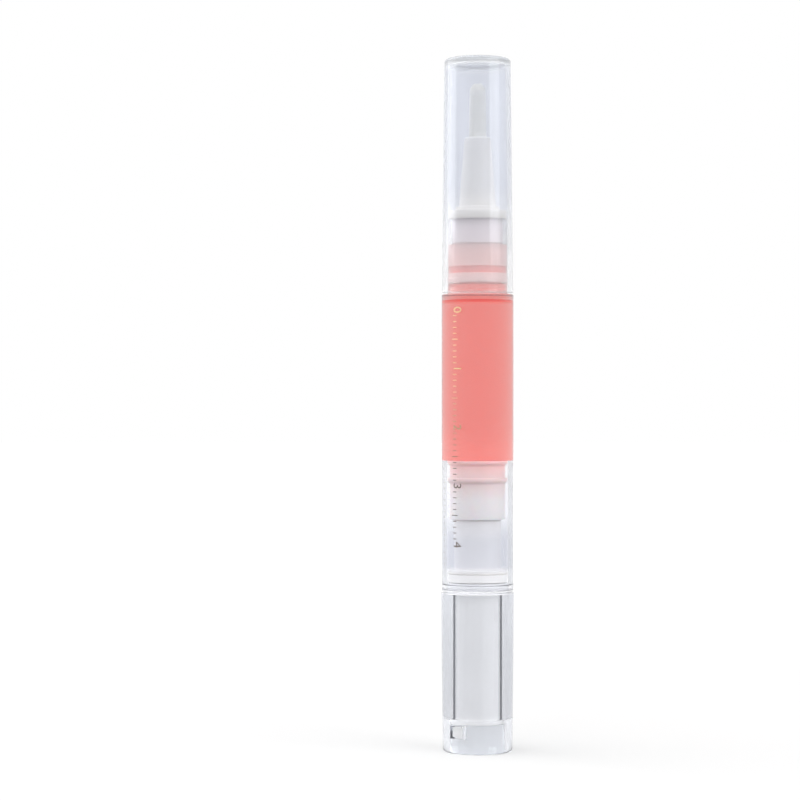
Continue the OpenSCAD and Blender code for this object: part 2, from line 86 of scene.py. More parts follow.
def turned(name, outline, steps=144):
    """Draws an outline of (radius, height) points as a chain of edges and spins it round the pen's axis."""
    bpy.ops.object.select_all(action="DESELECT")
    radius, height = outline[0]
    bpy.ops.mesh.primitive_plane_add(size=MM, location=(radius, 0, height))
    piece = bpy.context.object
    piece.name = name
    piece.data.name = name
    bpy.ops.object.transform_apply(location=True, rotation=False, scale=False)
    bpy.ops.object.mode_set(mode="EDIT")
    bpy.ops.mesh.merge(type="CENTER")
    for r, z in outline[1:]:
        step = (r - radius, 0, z - height)
        bpy.ops.mesh.extrude_vertices_move(TRANSFORM_OT_translate={"value": step})
        radius, height = r, z
    bpy.ops.mesh.select_all(action="SELECT")
    bpy.ops.mesh.spin(steps=steps, angle=2 * math.pi, center=(0, 0, 0), axis=AXIS)
    bpy.ops.mesh.select_all(action="SELECT")
    bpy.ops.mesh.remove_doubles(threshold=0.001 * MM)
    bpy.ops.mesh.normals_make_consistent(inside=False)
    bpy.ops.object.mode_set(mode="OBJECT")
    return piece


def only(piece):
    """Selects one piece and makes it the active one."""
    bpy.ops.object.select_all(action="DESELECT")
    piece.select_set(True)
    bpy.context.view_layer.objects.active = piece


def soften(piece, width, segments=3, angle=30):
    """Rounds the edges sharper than an angle and smooths the rest, so that long faces stay straight."""
    only(piece)
    bevel = piece.modifiers.new("edges", "BEVEL")
    bevel.width = width
    bevel.segments = segments
    bevel.limit_method = "ANGLE"
    bevel.angle_limit = math.radians(angle)
    bpy.ops.object.modifier_apply(modifier=bevel.name)
    bpy.ops.object.shade_smooth_by_angle(angle=math.radians(30))
    shine = piece.modifiers.new("shine", "WEIGHTED_NORMAL")
    shine.weight = 100
    shine.keep_sharp = True
    bpy.ops.object.modifier_apply(modifier=shine.name)


def new_material(name):
    """A material with a Principled shader, its tree and that shader."""
    mat = bpy.data.materials.new(name)
    mat.use_nodes = True
    tree = mat.node_tree
    shader = tree.nodes["Principled BSDF"]
    return mat, tree, shader


def noise(tree, scale, detail=3, stretch=(1, 1, 1)):
    """Noise on the piece's Object coordinates, stretched along its axes. Scale is in cycles a metre."""
    place = tree.nodes.new("ShaderNodeTexCoord")
    turn = tree.nodes.new("ShaderNodeMapping")
    turn.inputs["Scale"].default_value = stretch
    tex = tree.nodes.new("ShaderNodeTexNoise")
    tex.inputs["Scale"].default_value = scale
    tex.inputs["Detail"].default_value = detail
    tree.links.new(place.outputs["Object"], turn.inputs["Vector"])
    tree.links.new(turn.outputs["Vector"], tex.inputs["Vector"])
    return tex.outputs["Fac"]


def ramp(tree, source, *stops):
    """Maps a source to a row of stops, each a spot from 0 to 1 with its number or colour."""
    chart = tree.nodes.new("ShaderNodeValToRGB")
    spots = chart.color_ramp.elements
    spots[0].position = stops[0][0]
    spots[1].position = stops[-1][0]
    for spot, value in stops[1:-1]:
        spots.new(spot)
    for stop, (spot, value) in zip(spots, stops):
        stop.color = (value, value, value, 1) if isinstance(value, (int, float)) else (*value, 1)
    tree.links.new(source, chart.inputs["Fac"])
    return chart.outputs["Color"]


def between(tree, source, low, high, start=0.3, end=0.7):
    """Maps a source from start..end to low..high, which are numbers or colours."""
    return ramp(tree, source, (start, low), (end, high))


def height_on(tree):
    """How high a point of the piece lies."""
    place = tree.nodes.new("ShaderNodeTexCoord")
    split = tree.nodes.new("ShaderNodeSeparateXYZ")
    tree.links.new(place.outputs["Object"], split.inputs["Vector"])
    return split.outputs["Z"]


def radius_on(tree):
    """How far a point of the piece lies from the pen's axis."""
    place = tree.nodes.new("ShaderNodeTexCoord")
    flat = tree.nodes.new("ShaderNodeVectorMath")
    flat.operation = "MULTIPLY"
    flat.inputs[1].default_value = (1, 1, 0)
    length = tree.nodes.new("ShaderNodeVectorMath")
    length.operation = "LENGTH"
    tree.links.new(place.outputs["Object"], flat.inputs[0])
    tree.links.new(flat.outputs["Vector"], length.inputs[0])
    return length.outputs["Value"]


def spread(tree, source, low, high, start=0.0, end=1.0):
    """Maps a source from low..high to start..end, and holds it there beyond."""
    chart = tree.nodes.new("ShaderNodeMapRange")
    chart.inputs["From Min"].default_value = low
    chart.inputs["From Max"].default_value = high
    chart.inputs["To Min"].default_value = start
    chart.inputs["To Max"].default_value = end
    tree.links.new(source, chart.inputs["Value"])
    return chart.outputs["Result"]


def rise(tree, low, high, start=0.0, end=1.0):
    """A value that goes from start to end between two heights on the piece."""
    return spread(tree, height_on(tree), low, high, start, end)


def figure(tree, how, *values):
    """Works out one value from others, each a number or the output of a node."""
    result = tree.nodes.new("ShaderNodeMath")
    result.operation = how
    for spot, value in enumerate(values):
        if isinstance(value, (int, float)):
            result.inputs[spot].default_value = value
        else:
            tree.links.new(value, result.inputs[spot])
    return result.outputs["Value"]


def smallest(tree, first, *others):
    """The smallest of several values."""
    for other in others:
        first = figure(tree, "MINIMUM", first, other)
    return first


def blended(tree, share, under, over):
    """Goes from one colour, the output of a node, to a plain other one by a share."""
    tone = tree.nodes.new("ShaderNodeMixRGB")
    tone.inputs["Color2"].default_value = (*over, 1)
    tree.links.new(share, tone.inputs["Fac"])
    tree.links.new(under, tone.inputs["Color1"])
    return tone.outputs["Color"]


def mirror_at(tree, radius, reach=0.1 * MM):
    """How far a bore's wall is a mirror from inside the plastic, which is 1 past the critical angle."""
    mirror = tree.nodes.new("ShaderNodeFresnel")
    mirror.inputs["IOR"].default_value = plastic_ior
    wall = figure(tree, "COMPARE", radius_on(tree), radius, reach)
    return figure(tree, "MULTIPLY", mirror.outputs["Fac"], wall)


def bumped(tree, shader, source, depth):
    """Raises the surface by a source, depth in metres."""
    bump = tree.nodes.new("ShaderNodeBump")
    bump.inputs["Distance"].default_value = depth
    tree.links.new(source, bump.inputs["Height"])
    tree.links.new(bump.outputs["Normal"], shader.inputs["Normal"])


def clear_plastic(name):
    """Clear moulded plastic, glossy, with faint streaks where it flowed along the mould."""
    mat, tree, shader = new_material(name)
    streaks = noise(tree, 700, stretch=(1, 1, 0.06))
    tree.links.new(between(tree, streaks, 0.025, 0.07), shader.inputs["Roughness"])
    bumped(tree, shader, streaks, streak_depth)
    shader.inputs["IOR"].default_value = plastic_ior
    return mat, tree, shader


def see_through(tree, shader, shade, depth_colour, density, bare=None):
    """Lets lamps shine through a clear piece, which deepens in colour with its thickness.

    Shade is what a wall leaves of the lamps' light, and bare is where the surface doesn't show.
    """
    path = tree.nodes.new("ShaderNodeLightPath")
    through = tree.nodes.new("ShaderNodeBsdfTransparent")
    through.inputs["Color"].default_value = (*shade, 1)
    inside = tree.nodes.new("ShaderNodeVolumeAbsorption")
    inside.inputs["Color"].default_value = (*depth_colour, 1)
    inside.inputs["Density"].default_value = density
    mix = tree.nodes.new("ShaderNodeMixShader")
    out = tree.nodes["Material Output"]
    unseen = path.outputs["Is Shadow Ray"]
    if bare is not None:
        unseen = figure(tree, "MAXIMUM", unseen, bare)
    tree.links.new(unseen, mix.inputs["Fac"])
    tree.links.new(shader.outputs["BSDF"], mix.inputs[1])
    tree.links.new(through.outputs["BSDF"], mix.inputs[2])
    tree.links.new(mix.outputs["Shader"], out.inputs["Surface"])
    tree.links.new(inside.outputs["Volume"], out.inputs["Volume"])


barrel = turned("barrel_shell", [
    (bore_r + rim_chamfer, rim.z),
    (barrel_r, rim.z),
    (barrel_r, shoulder_z),
    (neck_r, shoulder_z),
    (neck_r, bead_low),
    (neck_r + bead_rise, bead_low + bead_slope),
    (neck_r + bead_rise, bead_high - bead_slope),
    (neck_r, bead_high),
    (neck_r, neck_top.z),
    (neck_bore_r, neck_top.z),
    (neck_bore_r, roof_z),
    (bore_r, roof_z - shoulder_cone),
    (bore_r, groove_high),
    (groove_r, groove_high),
    (groove_r, groove_low),
    (bore_r, groove_low),
    (bore_r, rim.z + rim_chamfer),
    (bore_r + rim_chamfer, rim.z),
])
soften(barrel, moulded_round, angle=65)
barrel_glass, tree, shader = clear_plastic("barrel_plastic")
# The tint changes with height: almost clear by the collar, blue-grey round the nut and screw, with a
# milkier share there, and clearing towards the oil and the neck. This is painted shade low down and painted
# light by the neck. The plastic itself is the same all along.
level = rise(tree, tint_low, tint_high)
painted_shade_blue = (0.82, 0.83, 0.875)
tint = ramp(
    tree,
    level,
    (0.17, (0.98, 0.98, 0.99)),
    (0.21, painted_shade_blue),
    (0.385, painted_shade_blue),
    (0.54, (0.92, 0.92, 0.94)),
    (0.69, (0.95, 0.945, 0.96)),
    (0.9, (0.99, 0.985, 0.985)),
    (1.0, (1.0, 0.995, 0.99)),
)
# Where the bore's wall is a mirror from inside the plastic, its colour is painted dark and its transmission
# drops. This is a painted dark reflection along the wall's edges.
mirror = mirror_at(tree, bore_r)
painted_mirror_line = ramp(tree, mirror, (0.5, 0.0), (0.99, 1.0))
tree.links.new(blended(tree, painted_mirror_line, tint, (0.3, 0.31, 0.34)), shader.inputs["Base Color"])
mouth_frost = ramp(
    tree,
    rise(tree, shoulder_z - 0.5 * MM, bead_low + 0.5 * MM),
    (0.1, clearest),
    (0.16, 0.72),
    (0.28, 0.72),
    (0.34, clearest),
    (0.8, clearest),
    (0.95, 0.85),
)
rim_frost = rise(tree, rim.z + 0.2 * MM, rim.z + 0.4 * MM, 0.4, clearest)
painted_edge_shade = ramp(tree, mirror, (0.5, clearest), (0.99, 0.68))
milk = ramp(tree, level, (0.17, clearest), (0.21, 0.76), (0.4, 0.76), (0.56, clearest))
clear = smallest(tree, mouth_frost, rim_frost, painted_edge_shade, milk)
tree.links.new(clear, shader.inputs["Transmission Weight"])

# Oil bends light as the plastic does, so the roof of the bore, which it always wets, doesn't show.
cone_mid = roof_z - shoulder_cone / 2
on_roof = figure(tree, "COMPARE", height_on(tree), cone_mid, shoulder_cone / 2 + wet)
in_bore = figure(tree, "LESS_THAN", radius_on(tree), bore_r + bore_reach)
wetted = figure(tree, "MULTIPLY", on_roof, in_bore)
see_through(tree, shader, (0.995, 0.995, 0.995), deep_tone, density=75, bare=wetted)
barrel.data.materials.append(barrel_glass)
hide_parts("barrel")
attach(barrel, "barrel")

# Scale print
# A plain scale in bronze foil, hot-stamped on the barrel: numbers from 0 to 4 for millilitres,
# with fine ticks, read along the pen. A fainter row of ticks stands beside it. The foil is
# painted darker towards the bottom, a painted reflection rather than a change in the foil.
scale_top = 79.5 * MM
ml = 10.5 * MM
scale_angle = math.radians(-41)
ruler_angle = math.radians(-68)
ruler_top = 48.6 * MM
ruler_ticks = 15
stroke = 0.14 * MM
digit_size = 2.4 * MM
digit_across = 0.5 * MM
long_tick = 1.3 * MM
short_tick = 0.8 * MM
ruler_tick = 0.5 * MM
foil_t = 0.008 * MM
dark_below = 48 * MM
bronze_above = 74 * MM
marks = []


def tick(across, up, turn, length):
    """A thin printed line that runs round the pen."""
    bpy.ops.mesh.primitive_plane_add(size=1, location=(across, 0, up), rotation=(math.pi / 2, 0, 0))
    line = bpy.context.object
    line.scale = (length, stroke, 1)
    marks.append((line, turn))


for k in range(5):
    number_z = scale_top - k * ml
    bpy.ops.object.text_add(location=(digit_across, 0, number_z), rotation=(math.pi / 2, math.pi / 2, 0))
    digit = bpy.context.object
    digit.data.body = str(k)
    digit.data.size = digit_size
    digit.data.align_x = "CENTER"
    digit.data.align_y = "CENTER"
    only(digit)
    bpy.ops.object.convert(target="MESH")
    marks.append((bpy.context.object, scale_angle))
    if k < 4:
        for part in range(1, 10):
            tick(0, number_z - part * ml / 10, scale_angle, long_tick if part == 5 else short_tick)
for k in range(ruler_ticks):
    tick(0, ruler_top - k * ml / 10, ruler_angle, ruler_tick)

for mark, turn in marks:
    only(mark)
    bpy.ops.object.transform_apply(location=True, rotation=True, scale=True)
    bpy.ops.object.mode_set(mode="EDIT")
    for cut_x in (-0.8, -0.4, 0, 0.4, 0.8, 1.2):
        bpy.ops.mesh.select_all(action="SELECT")
        bpy.ops.mesh.bisect(plane_co=(cut_x * MM, 0, 0), plane_no=(1, 0, 0))
    bpy.ops.object.mode_set(mode="OBJECT")
    mark.location = (barrel_r * math.sin(turn), -barrel_r * math.cos(turn), 0)
    mark.rotation_euler = (0, 0, turn)
bpy.ops.object.select_all(action="DESELECT")
for mark, turn in marks:
    mark.select_set(True)
scale_print = marks[0][0]
bpy.context.view_layer.objects.active = scale_print
bpy.ops.object.join()
bpy.ops.object.transform_apply(location=True, rotation=True, scale=True)
scale_print.name = "scale_print"
wrap = scale_print.modifiers.new("wrap", "SHRINKWRAP")
wrap.target = barrel
wrap.offset = foil_t
bpy.ops.object.modifier_apply(modifier=wrap.name)
foil, tree, shader = new_material("bronze_foil")
# Bronze above, dark below: a painted reflection on the foil.
painted_reflection_share = rise(tree, dark_below, bronze_above)
bronze_with_painted_reflection = between(tree, painted_reflection_share, (0.16, 0.13, 0.11), (0.72, 0.5, 0.27), start=0.1, end=0.8)
tree.links.new(bronze_with_painted_reflection, shader.inputs["Base Color"])
tree.links.new(between(tree, noise(tree, 6000), 0.3, 0.45), shader.inputs["Roughness"])
shader.inputs["Metallic"].default_value = 0.5
scale_print.data.materials.append(foil)
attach(scale_print, "barrel")

# Screw nut and ratchet ring
# Both are moulded in white slippery plastic and pushed into the barrel from below. The nut
# guides the sleeve's stem, and the ring's saw teeth let the knob turn one way only.
grain_depth = 0.004 * MM
glow_depth = 1.5 * MM


def white_plastic(name, colour, roughness, glow=0.0):
    """Satin white moulded plastic, a little translucent, with the mould's fine grain."""
    mat, tree, shader = new_material(name)
    darker = tuple(c * 0.96 for c in colour)
    tree.links.new(between(tree, noise(tree, 160), darker, colour), shader.inputs["Base Color"])
    grain = noise(tree, 4000, detail=4)
    tree.links.new(between(tree, grain, roughness - 0.05, roughness + 0.05), shader.inputs["Roughness"])
    bumped(tree, shader, grain, grain_depth)
    shader.inputs["Subsurface Weight"].default_value = glow
    shader.inputs["Subsurface Radius"].default_value = (1, 1, 1)
    shader.inputs["Subsurface Scale"].default_value = glow_depth
    return mat


def finish(name, mat):
    """Gives a CAD node its material."""
    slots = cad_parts[name].data.materials
    slots.clear()
    slots.append(mat)


finish("screw_nut", white_plastic("nut_plastic", (0.97, 0.945, 0.925), 0.35))
finish("ratchet_ring", white_plastic("ratchet_plastic", (0.98, 0.965, 0.95), 0.35))

# Drive sleeve and click ring
# The sleeve is a natural, translucent tube that the knob turns. The click ring sits on the
# flats of its stem, and its four spring arms click over the ratchet's teeth.
finish("drive_sleeve", white_plastic("sleeve_plastic", (0.97, 0.955, 0.935), 0.3))
finish("click_ring", white_plastic("click_plastic", (0.94, 0.925, 0.93), 0.3))

# Lead screw
# A white screw with a 2 mm right-hand thread and two flats. The sleeve's flats turn it, the
# nut makes it climb, and the piston is snapped over its head.
screw_low, screw_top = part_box("lead_screw")
screw_r = screw_top.x
root_r = 2.35 * MM
lead = 2.0 * MM
flats = 4.6 * MM
shank_top = 46.1 * MM
screw_neck_r = 2.2 * MM
head_low = 47.2 * MM
head_top_r = 1.5 * MM
head_rim = 0.6 * MM
neck_slope = 0.1 * MM
cut_spare = 1.0 * MM

shank = turned("lead_screw_shank", [
    (0, screw_low.z),
    (root_r, screw_low.z),
    (root_r, shank_top),
    (screw_neck_r, shank_top + neck_slope),
    (screw_neck_r, head_low),
    (screw_r, head_low),
    (screw_r, head_low + head_rim),
    (head_top_r, screw_top.z),
    (0, screw_top.z),
], steps=48)

thread_foot = 0.55 * lead / 2
thread_crest = 0.25 * lead / 2
thread_depth = (screw_r - root_r) * 1.3
first_z = screw_low.z + thread_foot
turns = int((shank_top - thread_foot - first_z) / lead)
bpy.ops.object.select_all(action="DESELECT")
bpy.ops.mesh.primitive_plane_add(
    size=1,
    location=(screw_r - thread_depth / 2, 0, first_z),
    rotation=(math.pi / 2, 0, 0),
)
thread = bpy.context.object
thread.name = "screw_thread"
thread.scale = (thread_depth, 2 * thread_foot, 1)
bpy.ops.object.transform_apply(location=True, rotation=True, scale=True)
for corner in thread.data.vertices:
    if corner.co.x > root_r:
        corner.co.z = first_z + (thread_crest if corner.co.z > first_z else -thread_crest)
wind = thread.modifiers.new("wind", "SCREW")
wind.axis = "Z"
wind.angle = 2 * math.pi
wind.screw_offset = lead
wind.iterations = turns
wind.steps = wind.render_steps = 36
bpy.ops.object.modifier_apply(modifier=wind.name)
bpy.ops.object.mode_set(mode="EDIT")
bpy.ops.mesh.select_all(action="SELECT")
bpy.ops.mesh.remove_doubles(threshold=0.001 * MM)
bpy.ops.mesh.select_all(action="DESELECT")
bpy.ops.mesh.select_non_manifold()
bpy.ops.mesh.edge_face_add()
bpy.ops.mesh.select_all(action="SELECT")
bpy.ops.mesh.normals_make_consistent(inside=False)
bpy.ops.object.mode_set(mode="OBJECT")


def cut(piece, tool, how):
    """Joins, cuts or crosses a piece with a tool, which is then removed."""
    only(piece)
    change = piece.modifiers.new("cut", "BOOLEAN")
    change.operation = how
    change.solver = "EXACT"
    change.object = tool
    bpy.ops.object.modifier_apply(modifier=change.name)
    bpy.data.objects.remove(tool)


def block(size, place, turn=0):
    """A plain block to cut with."""
    bpy.ops.object.select_all(action="DESELECT")
    bpy.ops.mesh.primitive_cube_add(size=1, location=place, rotation=(0, 0, turn))
    tool = bpy.context.object
    tool.scale = size
    bpy.ops.object.transform_apply(location=True, rotation=True, scale=True)
    return tool


cut(shank, thread, "UNION")
flat_len = shank_top - screw_low.z + cut_spare
for side in (-1, 1):
    centre = (0, side * (flats / 2 + screw_r), shank_top - flat_len / 2)
    cut(shank, block((4 * screw_r, 2 * screw_r, flat_len), centre), "DIFFERENCE")
soften(shank, 0.04 * MM, segments=2)
shank.data.materials.append(white_plastic("screw_plastic", (0.93, 0.915, 0.92), 0.32))
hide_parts("lead_screw")
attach(shank, "screw")

# Piston
# A natural, soft piston with two sealing lips, snapped over the screw's head. Its upper part is
# painted coral: partly a stain from the oil above, partly painted light that the oil sends down into it.
piston_low, piston_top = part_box("piston")
lip_r = piston_top.x
waist_r = lip_r - 0.45 * MM
low_lip = piston_low.z + 6.2 * MM
foot_z = piston_low.z - 0.2 * MM
lip_h = 1.0 * MM
crown_z = 49.65 * MM
head_socket_r = screw_r + 0.05 * MM
skirt_r = screw_r + 0.15 * MM
catch_r = screw_neck_r + 0.1 * MM
catch_top = head_low - 0.05 * MM
skirt_top = shank_top + 0.05 * MM

piston = turned("piston_body", [
    (catch_r, catch_top),
    (skirt_r, skirt_top),
    (skirt_r, foot_z),
    (waist_r, foot_z),
    (waist_r, low_lip),
    (lip_r, low_lip + lip_h / 2),
    (lip_r, low_lip + lip_h),
    (waist_r, low_lip + lip_h),
    (waist_r, piston_top.z - lip_h),
    (lip_r, piston_top.z - lip_h / 2),
    (lip_r, piston_top.z),
    (0, piston_top.z),
    (0, crown_z),
    (head_socket_r, crown_z),
    (head_socket_r, catch_top),
    (catch_r, catch_top),
])
soften(piston, 0.08 * MM)
soft, tree, shader = new_material("piston_plastic")
oil_stain_and_painted_light = ramp(
    tree,
    rise(tree, piston_low.z, piston_top.z),
    (0.3, (0.88, 0.83, 0.82)),
    (0.72, (0.83, 0.58, 0.57)),
    (0.95, (1.0, 0.56, 0.55)),
)
tree.links.new(oil_stain_and_painted_light, shader.inputs["Base Color"])
grain = noise(tree, 2500, detail=4)
tree.links.new(between(tree, grain, 0.25, 0.4), shader.inputs["Roughness"])
bumped(tree, shader, grain, 0.005 * MM)
shader.inputs["Subsurface Weight"].default_value = 0.3
shader.inputs["Subsurface Scale"].default_value = 2 * MM
piston.data.materials.append(soft)
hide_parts("piston")
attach(piston, "piston")

# Oil
# Clear coral oil fills the bore from the piston to the neck, and lies as a film round the
# nozzle's plug. It wets the walls, so its skin lies a hair inside the plastic.
oil_ior = 1.46
oil_deep = (0.985, 0.17, 0.06)


def coral_oil(name, density):
    """Clear oil whose colour deepens with its thickness."""
    mat, tree, shader = new_material(name)
    tint = between(tree, noise(tree, 60), (0.99, 0.93, 0.92), (1, 0.95, 0.94))
    tree.links.new(tint, shader.inputs["Base Color"])
    shader.inputs["Roughness"].default_value = 0.02
    shader.inputs["IOR"].default_value = oil_ior
    shader.inputs["Transmission Weight"].default_value = 1.0
    seam = figure(tree, "COMPARE", height_on(tree), cone_mid, shoulder_cone / 2 + 2 * wet)
    see_through(tree, shader, (1.0, 0.76, 0.73), oil_deep, density, seam)
    return mat


column = turned("oil_fill", [
    (0, oil_low.z - 2 * wet),
    (bore_r + wet, oil_low.z - 2 * wet),
    (bore_r + wet, roof_z - shoulder_cone + wet),
    (neck_bore_r + wet, roof_z + wet),
    (0, roof_z + wet),
])
column.data.materials.append(coral_oil("coral_oil", density=200))
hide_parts("oil_column")
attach(column, "barrel")
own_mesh(column)

nozzle_low, nozzle_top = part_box("nozzle")
plug_r = 4.15 * MM
ring_r = 4.4 * MM
ring_top = nozzle_low.z + 1.8 * MM
groove_top = ring_top + 1.2 * MM
plug_groove_r = plug_r - 0.6 * MM
film = turned("oil_film", [
    (0, roof_z - wet),
    (neck_bore_r + wet, roof_z - wet),
    (neck_bore_r + wet, neck_oil_top.z),
    (plug_r - wet, neck_oil_top.z),
    (plug_r - wet, groove_top + wet),
    (plug_groove_r - wet, groove_top + wet),
    (plug_groove_r - wet, ring_top - wet),
    (ring_r - wet, ring_top - wet),
    (ring_r - wet, nozzle_low.z + wet),
    (0, nozzle_low.z + wet),
])
film.data.materials.append(coral_oil("coral_neck_oil", density=235))
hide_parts("neck_oil")
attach(film, "barrel")

# Nozzle, brush collar and feed tube
# The nozzle is a white plug that is pushed into the neck until its flange seats. A thin
# collar holds the bristles in its tip, and a fine tube feeds them with oil.
seal_r = neck_bore_r - 0.03 * MM
seal_z = neck_top.z - 4.3 * MM
flange_r = nozzle_top.x
flange_top = neck_top.z + 1.6 * MM
step_r = 3.95 * MM
step_top = flange_top + 0.7 * MM
foot_r = 3.35 * MM
tip_r = 2.4 * MM
tip_round = 0.4 * MM
socket_r = 1.88 * MM
socket_z = nozzle_top.z - 4.0 * MM
feed_r = 1.2 * MM
feed_top = neck_top.z + 5.0 * MM
tube_seat_r = 0.53 * MM
lead_in = 0.2 * MM


def arc(centre, radius, start, end, steps=6):
    """Points on an arc of an outline, from one angle to another in degrees."""
    turn = [math.radians(start + (end - start) * i / steps) for i in range(steps + 1)]
    return [(centre[0] + radius * math.cos(a), centre[1] + radius * math.sin(a)) for a in turn]


nozzle = turned("nozzle_body", [
    (feed_r, nozzle_low.z),
    (ring_r - lead_in, nozzle_low.z),
    (ring_r, nozzle_low.z + lead_in),
    (ring_r, ring_top),
    (plug_groove_r, ring_top),
    (plug_groove_r, groove_top),
    (plug_r, groove_top),
    (plug_r, seal_z - lead_in),
    (seal_r, seal_z),
    (seal_r, neck_top.z),
    (flange_r, neck_top.z),
    (flange_r, flange_top),
    (step_r, flange_top),
    (step_r, step_top),
    (foot_r, step_top),
    *arc((tip_r - tip_round, nozzle_top.z - tip_round), tip_round, 4, 90),
    (socket_r, nozzle_top.z),
    (socket_r, socket_z),
    (tube_seat_r, socket_z),
    (tube_seat_r, feed_top),
    (feed_r, feed_top),
    (feed_r, nozzle_low.z),
])
soften(nozzle, 0.1 * MM)
nozzle_white = white_plastic("nozzle_plastic", (0.9, 0.88, 0.84), 0.4, glow=0.3)
tree = nozzle_white.node_tree
# Below the neck's oil line the plug is painted in the oil's colours: pale pink on the ring, coral in the
# groove, pale pink above it. This is partly oil stain and partly painted light, the colour that the oil
# film in front lends the plug. Above the oil line, the seal is a greyer pink and the cone warm white.
oil_stain_and_painted_light = tree.nodes.new("ShaderNodeValToRGB")
oil_stain_and_painted_light.color_ramp.interpolation = "CONSTANT"
oil_stain_and_painted_light.color_ramp.elements[0].color = (1.0, 0.87, 0.88, 1)
nozzle_len = nozzle_top.z - nozzle_low.z
oil_stain_and_painted_light.color_ramp.elements[1].position = (neck_oil_top.z - nozzle_low.z) / nozzle_len
oil_stain_and_painted_light.color_ramp.elements[1].color = (0.86, 0.76, 0.79, 1)
for edge, colour in (
    (ring_top, (0.97, 0.3, 0.29)),
    (groove_top, (1.0, 0.93, 0.95)),
    (neck_top.z, (0.82, 0.795, 0.75)),
):
    stop = oil_stain_and_painted_light.color_ramp.elements.new((edge - nozzle_low.z) / nozzle_len)
    stop.color = (*colour, 1)
tree.links.new(rise(tree, nozzle_low.z, nozzle_top.z), oil_stain_and_painted_light.inputs["Fac"])
tree.links.new(oil_stain_and_painted_light.outputs["Color"], tree.nodes["Principled BSDF"].inputs["Base Color"])
nozzle.data.materials.append(nozzle_white)
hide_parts("nozzle")
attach(nozzle, "barrel")
finish("brush_collar", white_plastic("collar_plastic", (0.93, 0.9, 0.85), 0.4))
finish("feed_tube", white_plastic("tube_plastic", (0.93, 0.92, 0.89), 0.3))

# Bristles
# A blunt round brush of pale nylon filaments, fused at their roots to a small disc inside
# the collar. The filaments lie close, lean out a little and end in a low dome.
brush_low, brush_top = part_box("bristles")
brush_r = 1.6 * MM
filament_t = 0.11 * MM
filament_count = 480
dome = 1.3 * MM
hollow_r = 0.62 * MM
outer_r = brush_r - filament_t
lean_mm = 0.05
uneven_mm = 0.25
golden = math.pi * (3 - math.sqrt(5))
rng = random.Random(7)

# The backing also rises as a solid pale core up the tuft's middle. It keeps the tuft light where its
# filaments would shade each other: painted light by a filler.
disc_top = brush_low.z + 1.0 * MM
core_r = 1.35 * MM
core_tip_r = 0.8 * MM
tube_hole = 0.55 * MM
tube_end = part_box("feed_tube")[1].z + 0.1 * MM
backing = turned("bristle_tuft", [
    (0, tube_end),
    (tube_hole, tube_end),
    (tube_hole, brush_low.z),
    (brush_r, brush_low.z),
    (brush_r, disc_top),
    (core_r, disc_top),
    (core_r, brush_top.z - dome - 0.6 * MM),
    (core_tip_r, brush_top.z - 1.1 * MM),
    (0, brush_top.z - 0.8 * MM),
], steps=32)

bpy.ops.object.select_all(action="DESELECT")
bpy.ops.mesh.primitive_cylinder_add(vertices=5, radius=filament_t / 2, depth=1, location=(0, 0, 0.5))
filament = bpy.context.object
bpy.ops.object.transform_apply(location=True)
bpy.ops.object.mode_set(mode="EDIT")
bpy.ops.mesh.select_all(action="SELECT")
for level in (0.3, 0.6, 0.85):
    bpy.ops.mesh.select_all(action="SELECT")
    bpy.ops.mesh.bisect(plane_co=(0, 0, level), plane_no=AXIS)
bpy.ops.object.mode_set(mode="OBJECT")
tip_share = 0.45
for point in filament.data.vertices:
    if point.co.z > 0.9:
        point.co.x *= tip_share
        point.co.y *= tip_share

root_z = brush_low.z + 0.5 * MM
tuft = [backing]
for k in range(filament_count):
    out_r = math.sqrt(hollow_r ** 2 + (outer_r ** 2 - hollow_r ** 2) * (k + 0.5) / filament_count)
    turn = k * golden
    tip_z = brush_top.z - dome * (out_r / brush_r) ** 2 - rng.uniform(0, uneven_mm) * MM
    lean = rng.uniform(-lean_mm, lean_mm) * MM
    copy = filament.copy()
    copy.data = filament.data.copy()
    for point in copy.data.vertices:
        share = point.co.z
        bulge = 1 + 0.03 * math.sin(share * math.pi) - 0.1 * share ** 3
        at = out_r * bulge + lean * share ** 2
        point.co.x += at * math.cos(turn)
        point.co.y += at * math.sin(turn)
        point.co.z = root_z + share * (tip_z - root_z)
    bpy.context.scene.collection.objects.link(copy)
    tuft.append(copy)
bpy.data.objects.remove(filament)
bpy.ops.object.select_all(action="DESELECT")
for piece in tuft:
    piece.select_set(True)
bpy.context.view_layer.objects.active = backing
bpy.ops.object.join()
bpy.ops.object.shade_smooth_by_angle(angle=math.radians(60))
nylon, tree, shader = new_material("bristle_nylon")
strands = noise(tree, 1500, stretch=(1, 1, 0.05))
pale = between(tree, strands, (0.985, 0.975, 0.925), (1.0, 0.99, 0.95))
tree.links.new(pale, shader.inputs["Base Color"])
shader.inputs["Roughness"].default_value = 0.38
shader.inputs["Subsurface Weight"].default_value = 0.3
shader.inputs["Subsurface Radius"].default_value = (1, 1, 1)
shader.inputs["Subsurface Scale"].default_value = 0.5 * MM
shader.inputs["Sheen Weight"].default_value = 0.6
shader.inputs["IOR"].default_value = 1.5
backing.data.materials.append(nylon)
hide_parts("bristles")
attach(backing, "barrel")

# Knob
# A thick clear knob whose collar is snapped into the barrel. Its foot has a recess for the
# end plug, with two windows for the plug's latches.
collar_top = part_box("knob")[1]
knob_len = 28.7 * MM
knob_top_r = collar_top.x
knob_foot_r = 6.3 * MM
foot_round = 0.5 * MM
top_round = 0.2 * MM
knob_bore_r = 4.4 * MM
recess_r = 5.0 * MM
recess_top = 6.0 * MM
collar_r = 5.42 * MM
snap_r = 5.62 * MM
snap_z = 29.7 * MM
snap_h = 0.7 * MM
window_angle = math.radians(230)
window_w = 2.8 * MM
window_h = 2.4 * MM
window_low = 2.7 * MM
window_edge = 0.3 * MM
frost_depth = 0.3 * MM

taper = (knob_top_r - knob_foot_r) / (knob_len - foot_round - top_round)
above = window_low + window_h + window_edge
below = window_low - window_edge

